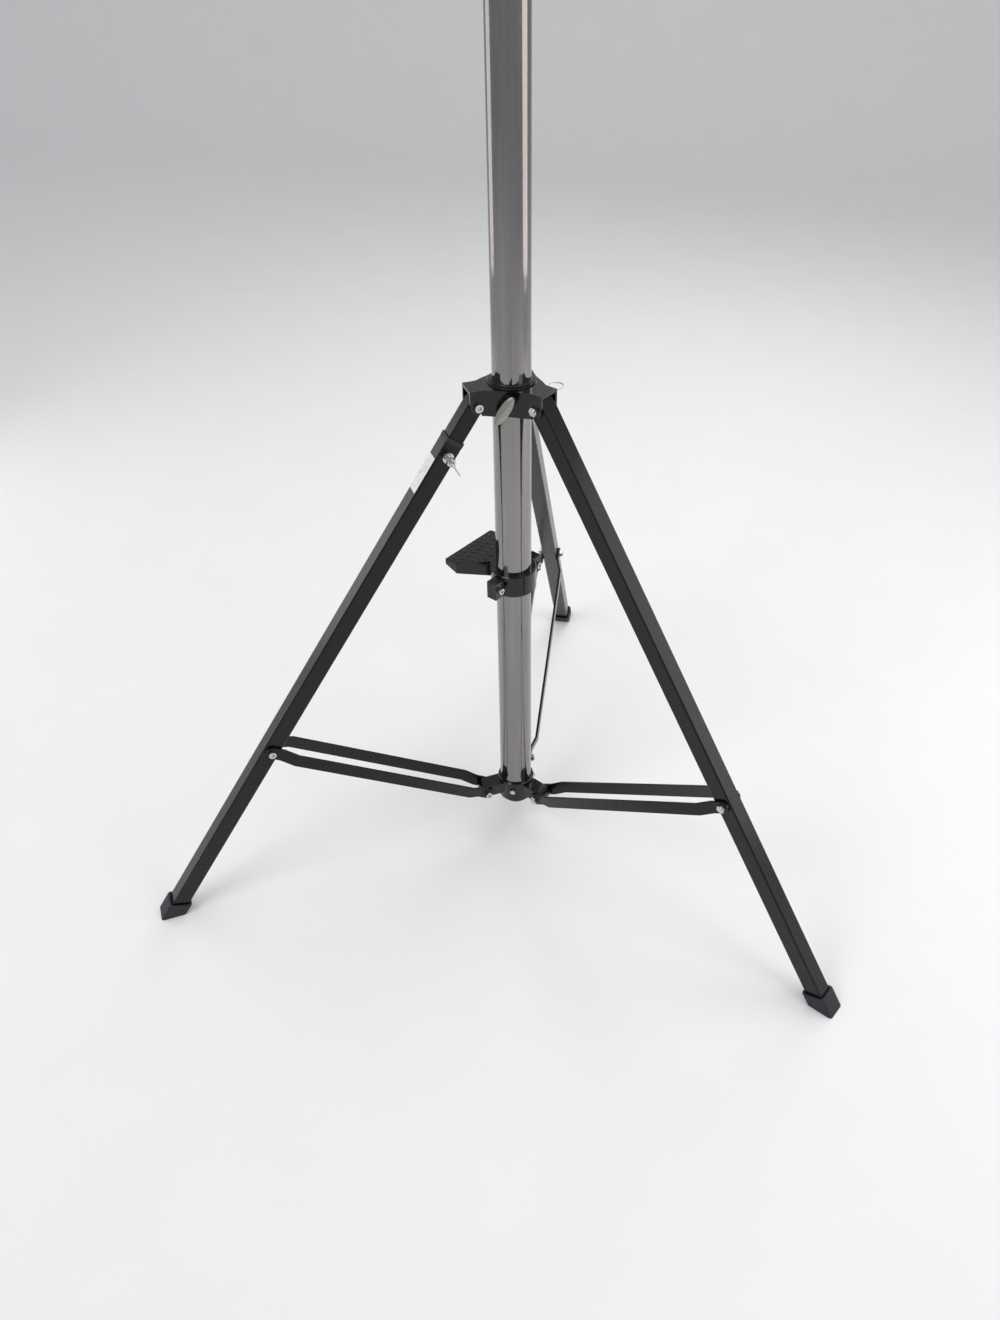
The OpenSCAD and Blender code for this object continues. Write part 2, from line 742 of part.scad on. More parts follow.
// Trapezoid tooth on a pitch circle, pointing along +X in the plan
module tooth(r) {
    m = tooth_module;
    polygon([[r - 1.25 * m, -0.95 * m], [r, -0.66 * m], [r + 0.9 * m, -0.3 * m],
        [r + 0.9 * m, 0.3 * m], [r, 0.66 * m], [r - 1.25 * m, 0.95 * m]]);
}

module rack_pinion() color("#a9a9a4") at_shaft() rotate([pinion_phase, 0, 0]) difference() {
    translate([-rack_w / 2 + 0.5, 0, 0]) rotate([90, 0, 90]) linear_extrude(rack_w - 1) {
        circle(r = pinion_r - 1.2 * tooth_module);
        for (k = [0:pinion_teeth - 1]) rotate(k * 360 / pinion_teeth) tooth(pinion_r);
    }
    rod_x(shaft_d / 2, -20, 20);
}

// Coil that grips its sleeve when the load tries to turn the shaft
module brake_spring() color("dimgray") at_shaft() for (k = [0:4])
    translate([-housing_half - 4 + k * 2.6, 0, 0]) rotate([0, 90, 0])
        rotate_extrude() translate([10.6, 0]) square(1.8, center = true);

module crank_arm() color("#1c1d20") at_shaft() difference() {
    union() {
        rod_x(13, crank_x - 6, crank_x + 8);
        translate([crank_x - 2, -9, 0]) cube([6, 18, crank_len]);
        translate([0, 0, crank_len]) rod_x(11, crank_x - 2, crank_x + 4);
        translate([0, 0, crank_len]) {
            rod_x(5, crank_x + 3, crank_x + 12 + grip_len);
            rod_x(7.5, crank_x + 10 + grip_len, crank_x + 14 + grip_len);
        }
    }
    rod_x(shaft_d / 2, crank_x - 9, crank_x + 20);
}

module crank_grip() color("#101113") at_shaft() translate([crank_x + 8, 0, crank_len]) rotate([0, 90, 0])
    rotate_extrude() difference() {
        union() {
            square([11, grip_len - 1]);
            for (z = [0.12, 0.5, 0.85]) translate([11, grip_len * z]) circle(r = 2.6, $fn = 32);
        }
        translate([-99, -9]) square([99 + 5 + 0.1, 200]);
    }

// ---- collars and risers ----

// Clamp collar that caps a tube's top end: the tube's radius, the riser's radius, the end's height
module top_collar(tube_r, inner_r, z_top, knob_turn) difference() {
    union() {
        ring(tube_r + collar_t, inner_r + 1, z_top - collar_h + collar_lip, z_top + collar_lip, 2);
        rotate([0, 0, knob_turn]) translate([0, 0, z_top - knob_drop]) rod_x(10, 0, tube_r + collar_t + 8);
    }
    translate([0, 0, z_top - collar_h]) cylinder(r = tube_r, h = collar_h);
    translate([0, 0, z_top - 1]) cylinder(r = inner_r + 1.5, h = 20);
    rotate([0, 0, knob_turn]) translate([0, 0, z_top - knob_drop]) rod_x(5.2, 0, tube_r + 40);
}

module mast_collar() color("#17181b") at_mast() difference() {
    top_collar(mast_r, riser_r, mast_top, MAST_KNOB);
    rack_notch(rack_tip + 1, mast_top - 10, mast_top + 20);
}

// Clearance around the rack in front of the mast axis
module rack_notch(depth, z0, z1) {
    translate([-rack_w / 2 - 0.6, -depth, z0]) cube([rack_w + 1.2, depth, z1 - z0]);
}

module mast_glide_bush() color("#d8d4c4") at_mast() difference() {
    ring(mast_bore, riser_r + run, mast_top - 60, mast_top - 0.5, 0.4);
    rack_notch(rack_tip + 0.5, mast_top - 70, mast_top + 5);
    rotate([0, 0, MAST_KNOB]) translate([0, 0, mast_top - knob_drop]) rod_x(6, 0, mast_r + 10);
}

// Clamp knob on a collar: screw, hub and wing
module collar_knob(tip_r, out_r, z, knob_turn) rotate([0, 0, knob_turn]) translate([0, 0, z]) {
    rod_x(5, tip_r + gap, out_r + 14);
    rod_x(9, out_r + 10, out_r + 24);
    translate([out_r + 24, 0, 0]) wing(30, 10);
}

module mast_knob() color("#8c8c88") at_mast()
    collar_knob(riser_r, mast_r + collar_t, mast_top - knob_drop, MAST_KNOB);

module riser_tube() color("gainsboro") at_mast() difference() {
    translate([0, 0, riser_bottom]) cylinder(r = riser_r, h = riser_len);
    translate([0, 0, riser_bottom - 1]) cylinder(r = riser_bore, h = riser_len + 2);
    translate([-rack_w / 2, -riser_r - 1, rack_from]) cube([rack_w, riser_r, rack_to - rack_from]);
    translate([0, 0, riser_top - knob_drop]) rotate([0, 0, RISER_KNOB]) rod_x(6, 0, riser_r + 1);
}

// Toothed bar set in the riser's front, its pitch line level with the pinion's
module gear_rack() color("#a9a9a4") at_mast() rotate([0, -90, 0]) rotate([0, 0, 180])
    translate([0, 0, -rack_w / 2]) linear_extrude(rack_w) rack_profile();

module rack_profile() {
    m = tooth_module;
    root = rack_pitch - 1.2 * m;
    count = floor((rack_to - rack_from) / tooth_pitch) - 1;
    // plan: x runs down the rack as -z, y forwards
    polygon(concat([[-rack_from, rack_base], [-rack_from, root]],
        [for (k = [0:count - 1]) let (z = rack_from + (k + 1) * tooth_pitch)
            each [[-z + 1.05 * m, root], [-z + 0.3 * m, rack_tip],
                [-z - 0.3 * m, rack_tip], [-z - 1.05 * m, root]]],
        [[-rack_to, root], [-rack_to, rack_base]]));
}

module riser_foot_bush() color("#d8d4c4") at_mast()
    ring(mast_bore - run, riser_r, riser_bottom, riser_bottom + 50, 0.4);

module riser_collar() color("#17181b") at_mast() top_collar(riser_r, top_r, riser_top, RISER_KNOB);

module riser_knob() color("#8c8c88") at_mast()
    collar_knob(top_r, riser_r + collar_t, riser_top - knob_drop, RISER_KNOB);

module top_tube() color("gainsboro") at_mast() difference() {
    translate([0, 0, top_bottom]) cylinder(r = top_r, h = top_len);
    translate([0, 0, top_bottom - 1]) cylinder(r = top_r - riser_wall, h = top_len + 2);
}

module top_foot_bush() color("#d8d4c4") at_mast() difference() {
    ring(riser_bore - run, top_r, top_bottom, top_bottom + 40, 0.4);
    rack_notch(riser_bore, top_bottom - 1, top_bottom + 60);
}

// Receiver for the lamp's spigot, with a boss for its clamp knob
module head_socket() color("#17181b") at_mast() difference() {
    union() {
        ring(top_r + 4, top_r, head_z - socket_skirt, head_z + 4, 1.5);
        ring(top_r + 4, socket_bore / 2, head_z, head_z + socket_depth + 6, 2);
        translate([0, 0, head_z]) cylinder(r = top_r, h = 6);
        rotate([0, 0, HEAD_KNOB]) translate([0, 0, head_z + 6 + socket_depth / 2])
            rod_x(9, socket_bore / 2 + 2, top_r + 11);
    }
    translate([0, 0, head_z + 6]) cylinder(r = socket_bore / 2, h = socket_depth + 1);
    translate([0, 0, head_z - 20]) cylinder(r = top_r, h = 20);
    rotate([0, 0, HEAD_KNOB]) translate([0, 0, head_z + 6 + socket_depth / 2]) rod_x(5.2, 0, top_r + 40);
}

module head_knob() color("#8c8c88") at_mast()
    collar_knob(socket_bore / 2, top_r + 3, head_z + 6 + socket_depth / 2, HEAD_KNOB);

outer_tube();
lower_collar();
base_plug();
collar_screws();
brace_pivot_bolts();
step_plate();
step_clamp();
step_bolts();
hub_casting();
hub_bush();
leg_pivot_bolts();
wing_knob();
hub_pin_barrel();
hub_pin();
hub_pin_ring();
hub_pin_spring();
rear_leg_tube();
right_leg_tube();
left_inner_tube();
left_leg_sleeve();
left_leg_bush();
level_pin_barrel();
level_pin();
level_pin_ring();
level_pin_spring();
leg_label();
rear_boot();
right_boot();
left_boot();
rear_spacer();
right_spacer();
left_spacer();
rear_brace_bars();
right_brace_bars();
left_brace_bars();
rear_brace_bolt();
right_brace_bolt();
left_brace_bolt();
drive_housing();
housing_screws();
drive_cover();
shaft_bushes();
brake_cap();
crank_shaft();
rack_pinion();
brake_spring();
crank_arm();
crank_grip();
mast_collar();
mast_glide_bush();
mast_knob();
riser_tube();
gear_rack();
riser_foot_bush();
riser_collar();
riser_knob();
top_tube();
top_foot_bush();
head_socket();
head_knob();
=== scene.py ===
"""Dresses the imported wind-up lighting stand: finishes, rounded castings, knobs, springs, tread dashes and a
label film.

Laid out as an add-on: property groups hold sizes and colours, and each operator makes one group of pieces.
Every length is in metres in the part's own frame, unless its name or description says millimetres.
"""

import json
import math

import bmesh
import bpy
from mathutils import Matrix, Vector


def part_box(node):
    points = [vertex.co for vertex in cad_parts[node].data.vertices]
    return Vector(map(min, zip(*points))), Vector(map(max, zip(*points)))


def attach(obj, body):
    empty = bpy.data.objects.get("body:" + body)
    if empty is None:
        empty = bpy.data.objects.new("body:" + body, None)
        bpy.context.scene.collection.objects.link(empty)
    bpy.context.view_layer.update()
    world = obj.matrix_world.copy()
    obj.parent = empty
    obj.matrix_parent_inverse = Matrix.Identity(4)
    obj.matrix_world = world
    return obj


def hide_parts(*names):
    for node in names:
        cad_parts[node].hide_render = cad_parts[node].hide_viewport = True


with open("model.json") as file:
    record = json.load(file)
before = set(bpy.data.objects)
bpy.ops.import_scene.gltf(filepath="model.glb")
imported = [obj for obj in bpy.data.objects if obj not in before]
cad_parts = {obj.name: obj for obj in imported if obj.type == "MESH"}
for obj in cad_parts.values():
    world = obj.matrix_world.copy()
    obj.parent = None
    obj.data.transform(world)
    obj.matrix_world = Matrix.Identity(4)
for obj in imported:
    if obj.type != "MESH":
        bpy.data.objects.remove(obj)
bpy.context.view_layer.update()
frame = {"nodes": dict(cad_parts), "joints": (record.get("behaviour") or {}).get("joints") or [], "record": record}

bl_info = {
    "name": "Wind-up lighting stand",
    "version": (1, 0, 0),
    "blender": (4, 5, 0),
    "location": "View3D > Sidebar > Stand",
    "description": "Finishes and detail pieces for a wind-up lighting stand",
    "category": "Object",
}

MM = 0.001
NODES = frame["nodes"]
JOINTS = {joint["name"]: joint for joint in frame["joints"]}


# ---- places taken from the frame ----

def centre(node):
    """Middle of a node's box."""
    low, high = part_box(node)
    return (low + high) / 2


def joint_frame(name, up=(0, 0, 1)):
    """Matrix at a joint, with its X axis along the joint's axis and its Z axis near `up`."""
    joint = JOINTS[name]
    x = Vector(joint["axis"]).normalized()
    z = (Vector(up) - x * x.dot(Vector(up))).normalized()
    y = z.cross(x)
    turn = Matrix((x, y, z)).transposed().to_4x4()
    return Matrix.Translation(Vector(joint.get("pos_m", (0, 0, 0)))) @ turn


MAST = centre("outer_tube")


# ---- colours and nodes ----

def linear(code):
    """Linear RGBA of an sRGB hex colour."""
    parts = [int(code[i:i + 2], 16) / 255 for i in (1, 3, 5)]
    return [p / 12.92 if p <= 0.04045 else ((p + 0.055) / 1.055) ** 2.4 for p in parts] + [1.0]


def colour_property(name, description, code):
    """Colour property whose default is an sRGB hex colour; the property itself holds linear values."""
    return bpy.props.FloatVectorProperty(
        name=name, description=description, subtype="COLOR", default=linear(code)[:3])


def add(tree, kind, values=None, links=None, **settings):
    """Adds a shader node, sets its attributes and sockets, and links its inputs."""
    made = tree.nodes.new(kind)
    for key, value in settings.items():
        setattr(made, key, value)
    for key, value in (values or {}).items():
        made.inputs[key].default_value = value
    for key, source in (links or {}).items():
        tree.links.new(source, made.inputs[key])
    return made


def new_material(name):
    """Empty node material with its output and Principled shader joined."""
    material = bpy.data.materials.new(name)
    material.use_nodes = True
    tree = material.node_tree
    tree.nodes.clear()
    shader = add(tree, "ShaderNodeBsdfPrincipled")
    add(tree, "ShaderNodeOutputMaterial", links={"Surface": shader.outputs["BSDF"]})
    return material, tree, shader


def put(shader, **sockets):
    """Sets constants on the Principled shader's own sockets; underscores stand for spaces."""
    for key, value in sockets.items():
        shader.inputs[key.replace("_", " ")].default_value = value


def join(tree, source, shader, socket):
    tree.links.new(source, shader.inputs[socket])


def place(tree, scale_mm, stretch=(1, 1, 1)):
    """Object coordinates scaled so that one unit of pattern is scale_mm; stretch divides each axis."""
    coords = add(tree, "ShaderNodeTexCoord")
    size = [1 / (scale_mm * MM * s) for s in stretch]
    made = add(tree, "ShaderNodeMapping", {"Scale": size}, {"Vector": coords.outputs["Object"]})
    return made.outputs["Vector"]


def noise(tree, scale_mm, detail=3.0, rough=0.5, stretch=(1, 1, 1)):
    values = {"Scale": 1.0, "Detail": detail, "Roughness": rough}
    vector = place(tree, scale_mm, stretch)
    return add(tree, "ShaderNodeTexNoise", values, {"Vector": vector}).outputs["Fac"]


def ramp(tree, fac, stops):
    """Colour ramp; stops are (position, colour)."""
    made = add(tree, "ShaderNodeValToRGB", links={"Fac": fac})
    elements = made.color_ramp.elements
    while len(elements) < len(stops):
        elements.new(0.5)
    for element, (at, colour) in zip(elements, stops):
        element.position = at
        element.color = colour
    return made.outputs["Color"]


def grey(value):
    return (value, value, value, 1.0)


def shade(colour, factor):
    """A colour property made lighter or darker."""
    return (*[min(1.0, c * factor) for c in colour[:3]], 1.0)


def bump(tree, shader, height, depth_mm, strength=1.0):
    made = add(tree, "ShaderNodeBump", {"Strength": strength, "Distance": depth_mm * MM}, {"Height": height})
    join(tree, made.outputs["Normal"], shader, "Normal")
    return made


# ---- materials ----

def chrome_plated_tube(colours):
    """Chrome plate on drawn steel tube: a mirror with faint draw lines along it and hand scuffs."""
    material, tree, shader = new_material("chrome_plated_drawn_tube")
    tone = noise(tree, 9.0, 4.0, 0.6, (1, 1, 30))
    join(tree, ramp(tree, tone, [(0.3, shade(colours.chrome, 0.86)), (0.7, shade(colours.chrome, 1.04))]),
         shader, "Base Color")
    scuff = noise(tree, 2.4, 6.0, 0.7, (1, 1, 6))
    join(tree, ramp(tree, scuff,
                    [(0.45, grey(0.07)), (0.6, grey(0.14)), (0.72, grey(0.42))]), shader, "Roughness")
    put(shader, Metallic=1.0)
    bump(tree, shader, noise(tree, 1.1, 2.0, 0.5, (1, 1, 60)), 0.02, 0.35)
    return material


def gloss_black_enamel(colours):
    """Stoved gloss enamel on a sand casting: deep black with a soft orange-peel under a clear gloss."""
    material, tree, shader = new_material("gloss_enamel_on_casting")
    tone = noise(tree, 14.0, 4.0, 0.55)
    join(tree, ramp(tree, tone, [(0.3, shade(colours.enamel, 0.75)), (0.75, shade(colours.enamel, 1.5))]),
         shader, "Base Color")
    put(shader, IOR=1.45, Specular_IOR_Level=0.2, Coat_Weight=0.6, Coat_Roughness=0.04)
    join(tree, ramp(tree, noise(tree, 5.0, 5.0, 0.6),
                    [(0.35, grey(0.16)), (0.7, grey(0.3))]), shader, "Roughness")
    bump(tree, shader, noise(tree, 2.6, 3.0, 0.5), 0.12, 0.35)
    return material


def satin_powder_coat(colours):
    """Powder coat on square steel tube: satin black with a fine pebble and rubbed streaks along the leg."""
    material, tree, shader = new_material("satin_powder_coat_on_steel")
    wear = noise(tree, 22.0, 7.0, 0.68)
    rubbed = ramp(tree, wear, [(0.3, shade(colours.powder, 0.8)), (0.58, shade(colours.powder, 1.15)),
                               (0.78, shade(colours.powder, 2.0))])
    join(tree, rubbed, shader, "Base Color")
    put(shader, IOR=1.45, Specular_IOR_Level=0.3, Coat_Weight=0.15, Coat_Roughness=0.12)
    join(tree, ramp(tree, noise(tree, 7.0, 5.0, 0.6),
                    [(0.3, grey(0.2)), (0.75, grey(0.34))]), shader, "Roughness")
    # powder coat pebbles at well under a millimetre; drawn at 0.9 mm so that it shows
    bump(tree, shader, noise(tree, 0.9, 2.0, 0.5), 0.05, 0.3)
    return material


def moulded_rubber(colours):
    """Moulded rubber: navy-black, dull, dusty in its low places."""
    material, tree, shader = new_material("moulded_rubber")
    dust = noise(tree, 8.0, 6.0, 0.65)
    join(tree, ramp(tree, dust, [(0.4, shade(colours.rubber, 0.9)), (0.72, shade(colours.rubber, 1.7))]),
         shader, "Base Color")
    put(shader, IOR=1.52)
    join(tree, ramp(tree, dust, [(0.35, grey(0.48)), (0.7, grey(0.7))]), shader, "Roughness")
    bump(tree, shader, noise(tree, 0.8, 3.0, 0.6), 0.06, 0.5)
    return material


def moulded_black_nylon(colours):
    """Glass-filled nylon, moulded: black with a faint flow mottle and a spark-eroded grain."""
    material, tree, shader = new_material("moulded_black_nylon")
    join(tree, ramp(tree, noise(tree, 5.0, 4.0, 0.6), [(0.3, shade(colours.nylon_black, 0.8)),
                                                       (0.75, shade(colours.nylon_black, 1.5))]),
         shader, "Base Color")
    put(shader, IOR=1.53, Roughness=0.42)
    bump(tree, shader, noise(tree, 0.7, 2.0, 0.5), 0.05, 0.4)
    return material


def natural_nylon(colours):
    """Turned natural nylon: cream, waxy, with fine lathe lines around the bush."""
    material, tree, shader = new_material("turned_natural_nylon")
    join(tree, ramp(tree, noise(tree, 6.0, 3.0, 0.5),
                    [(0.3, shade(colours.nylon, 0.9)), (0.7, shade(colours.nylon, 1.0))]),
         shader, "Base Color")
    put(shader, IOR=1.53, Roughness=0.38, Subsurface_Weight=0.15, Subsurface_Scale=0.002)
    bump(tree, shader, noise(tree, 0.6, 2.0, 0.5, (30, 30, 1)), 0.03, 0.4)
    return material


def tumbled_zinc(colours):
    """Zinc alloy die casting, tumbled: soft grey metal with a grainy skin and darker hollows."""
    material, tree, shader = new_material("tumbled_zinc_die_casting")
    tone = noise(tree, 3.5, 6.0, 0.7)
    join(tree, ramp(tree, tone, [(0.3, shade(colours.zinc, 0.72)), (0.7, shade(colours.zinc, 1.12))]),
         shader, "Base Color")
    put(shader, Metallic=1.0)
    join(tree, ramp(tree, tone, [(0.3, grey(0.46)), (0.75, grey(0.3))]), shader, "Roughness")
    bump(tree, shader, noise(tree, 0.9, 4.0, 0.65), 0.08, 0.5)
    return material


def zinc_plate(colours):
    """Bright zinc plate, passivated: pale metal with a faint straw and blue cast."""
    material, tree, shader = new_material("bright_zinc_plate")
    cast = noise(tree, 4.0, 3.0, 0.5)
    join(tree, ramp(tree, cast,
                    [(0.3, shade(colours.plate_cool, 1.0)), (0.7, shade(colours.plate_warm, 1.0))]),
         shader, "Base Color")
    put(shader, Metallic=1.0)
    join(tree, ramp(tree, noise(tree, 1.6, 5.0, 0.65),
                    [(0.35, grey(0.14)), (0.7, grey(0.32))]), shader, "Roughness")
    bump(tree, shader, noise(tree, 0.7, 3.0, 0.6), 0.03, 0.3)
    return material


def ground_steel(colours):
    """Ground and oiled steel: grey metal with grinding lines."""
    material, tree, shader = new_material("ground_oiled_steel")
    lines = noise(tree, 0.8, 4.0, 0.6, (1, 1, 25))
    join(tree, ramp(tree, lines, [(0.3, shade(colours.steel, 0.75)), (0.7, shade(colours.steel, 1.05))]),
         shader, "Base Color")
    put(shader, Metallic=1.0)
    join(tree, ramp(tree, lines, [(0.3, grey(0.24)), (0.7, grey(0.4))]), shader, "Roughness")
    bump(tree, shader, lines, 0.02, 0.4)
    return material


def sintered_bronze(colours):
    """Sintered bronze bush: brown-gold metal with open pores."""
    material, tree, shader = new_material("sintered_bronze")
    pores = noise(tree, 0.7, 4.0, 0.7)
    join(tree, ramp(tree, pores, [(0.3, shade(colours.bronze, 0.6)), (0.65, shade(colours.bronze, 1.0))]),
         shader, "Base Color")
    put(shader, Metallic=1.0, Roughness=0.4)
    bump(tree, shader, pores, 0.05, 0.5)
    return material


def label_film(colours):
    """Vinyl film: off-white, slightly yellowed at its worn places."""
    material, tree, shader = new_material("printed_vinyl_film")
    wear = noise(tree, 9.0, 6.0, 0.7)
    join(tree, ramp(tree, wear, [(0.32, shade(colours.label, 0.72)), (0.55, shade(colours.label, 1.0))]),
         shader, "Base Color")
    put(shader, IOR=1.5, Roughness=0.35)
    bump(tree, shader, noise(tree, 3.0, 3.0, 0.5), 0.03, 0.4)
    return material


def studio_floor(colours):
    """Matt painted studio floor: pale, with a barely visible roller texture."""
    material, tree, shader = new_material("matt_painted_floor")
    join(tree, ramp(tree, noise(tree, 160.0, 4.0, 0.5),
                    [(0.3, shade(colours.floor, 0.985)), (0.7, shade(colours.floor, 1.0))]),
         shader, "Base Color")
    put(shader, Roughness=0.8, IOR=1.4)
    bump(tree, shader, noise(tree, 4.0, 3.0, 0.5), 0.1, 0.15)
    return material


FINISH_OF_SLOT = {
    "chrome_tube": chrome_plated_tube,
    "gloss_black_casting": gloss_black_enamel,
    "black_steel": satin_powder_coat,
    "rubber_boot": moulded_rubber,
    "black_plastic": moulded_black_nylon,
    "nylon_bush": natural_nylon,
    "zinc_casting": tumbled_zinc,
    "bronze_bush": sintered_bronze,
    "white_label": label_film,
    "bright_steel": ground_steel,
    "zinc_plated": zinc_plate,
}
SLOT_OF_NODE = {part["node"]: part["material_slot"] for part in frame["record"]["subparts"]}
BODY_OF_NODE = {n: body for body, members in frame["record"]["behaviour"]["bodies"].items() for n in members}
finishes = {}


def finish_for(slot):
    """The material of a slot, made once."""
    if slot not in finishes:
        finishes[slot] = FINISH_OF_SLOT[slot](bpy.context.scene.stand_colours)
    return finishes[slot]


# ---- mesh helpers ----

def piece(name, mesh, body, slot, replaces=()):
    """Puts a finished mesh in the scene, riding on a body, in a slot's finish."""
    made = bpy.data.objects.new(name, mesh)
    bpy.context.scene.collection.objects.link(made)
    mesh.materials.clear()
    mesh.materials.append(finish_for(slot))
    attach(made, body)
    if replaces:
        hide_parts(*replaces)
    return made


def to_mesh(name, bm, smooth_deg=40.0):
    """Closes a bmesh into a mesh, smooth except at edges sharper than smooth_deg."""
    bmesh.ops.recalc_face_normals(bm, faces=bm.faces)
    for face in bm.faces:
        face.smooth = True
    for edge in bm.edges:
        if len(edge.link_faces) == 2:
            edge.smooth = edge.calc_face_angle(0.0) < math.radians(smooth_deg)
    mesh = bpy.data.meshes.new(name)
    bm.to_mesh(mesh)
    bm.free()
    return mesh


def lathe(bm, profile, matrix, segments=48):
    """Solid of revolution about the matrix's X axis; profile is (x, radius) from end to end."""
    rings = []
    for x, radius in profile:
        if radius < 1e-6:
            rings.append([bm.verts.new(matrix @ Vector((x, 0, 0)))])
            continue
        turn = [2 * math.pi * k / segments for k in range(segments)]
        rings.append([bm.verts.new(matrix @ Vector((x, radius * math.cos(t), radius * math.sin(t))))
                      for t in turn])
    for a, b in zip(rings, rings[1:]):
        for k in range(segments):
            n = (k + 1) % segments
            corners = [a[k % len(a)], a[n % len(a)], b[n % len(b)], b[k % len(b)]]
            bm.faces.new(list(dict.fromkeys(corners)))
    for end in (rings[0], rings[-1]):
        if len(end) > 1:
            bm.faces.new(end)


def sweep(bm, path, radius, sides=10, closed=False):
    """Round wire along a path of points."""
    count = len(path)
    rings = []
    normal = None
    for k, point in enumerate(path):
        before = path[k - 1] if closed or k else path[k]
        after = path[(k + 1) % count] if closed or k < count - 1 else path[k]
        along = (after - before).normalized()
        if normal is None:
            normal = along.orthogonal().normalized()
        normal = (normal - along * along.dot(normal)).normalized()
        across = along.cross(normal)
        rings.append([bm.verts.new(point + (normal * math.cos(t) + across * math.sin(t)) * radius)
                      for t in (2 * math.pi * s / sides for s in range(sides))])
    pairs = list(zip(rings, rings[1:])) + ([(rings[-1], rings[0])] if closed else [])
    for a, b in pairs:
        for s in range(sides):
            bm.faces.new((a[s], a[(s + 1) % sides], b[(s + 1) % sides], b[s]))
    if not closed:
        bm.faces.new(rings[0])
        bm.faces.new(rings[-1])


def rounded_copy(node, edge_mm, segments=2, sharp_deg=38.0):
    """Stands for a node with a copy whose sharp edges are rounded by edge_mm, as a casting's are."""
    bm = bmesh.new()
    bm.from_mesh(NODES[node].data)
    bmesh.ops.remove_doubles(bm, verts=bm.verts, dist=2e-6)
    bmesh.ops.dissolve_limit(bm, angle_limit=math.radians(0.6), verts=bm.verts, edges=bm.edges)
    mesh = to_mesh(node + "_rounded", bm)
    made = piece(node + "_shell", mesh, BODY_OF_NODE[node], SLOT_OF_NODE[node], (node,))
    mod = made.modifiers.new("edges", "BEVEL")
    mod.width = edge_mm * MM
    mod.segments = segments
    mod.limit_method = "ANGLE"
    mod.angle_limit = math.radians(sharp_deg)
    mod.use_clamp_overlap = True
    mod.harden_normals = False
    return made


# ---- sizes and colours that a user would change ----

class StandSizes(bpy.types.PropertyGroup):
    """Sizes of the detail pieces"""

    casting_edge: bpy.props.FloatProperty(
        name="Casting edge", description="Radius of a casting's edges, in millimetres",
        default=1.1, min=0.2, max=2.0)
    sheet_edge: bpy.props.FloatProperty(
        name="Bar edge", description="Radius of the flat bars' edges, in millimetres",
        default=0.5, min=0.1, max=1.0)
    wing_thick: bpy.props.FloatProperty(
        name="Wing thickness", description="Thickness of a knob's wing at its ridge",
        default=0.0086, subtype="DISTANCE", unit="LENGTH")
    lens: bpy.props.FloatProperty(
        name="Lens", description="Focal length on a frame 36 mm high",
        default=29.64)


class StandColours(bpy.types.PropertyGroup):
    """Colours of the finishes"""

    chrome: colour_property("Chrome", "Chrome plate", "#918e8d")
    enamel: colour_property("Enamel", "Gloss enamel", "#060607")
    powder: colour_property("Powder coat", "Satin powder coat", "#080809")
    rubber: colour_property("Rubber", "Boot rubber", "#11131c")
    nylon_black: colour_property("Black nylon", "Moulded nylon", "#141414")
    nylon: colour_property("Nylon", "Natural nylon", "#ddd8c8")
    zinc: colour_property("Zinc casting", "Tumbled zinc", "#a3a29c")
    plate_cool: colour_property("Zinc plate, cool", "Plate, blue cast", "#c3cad0")
    plate_warm: colour_property("Zinc plate, warm", "Plate, straw cast", "#d2cfbe")
    steel: colour_property("Steel", "Ground steel", "#b3b3b0")
    bronze: colour_property("Bronze", "Sintered bronze", "#b4884c")
    label: colour_property("Label", "Vinyl film", "#eeeeea")
    floor: colour_property("Floor", "Studio floor", "#f6f6f6")


# ---- operators ----

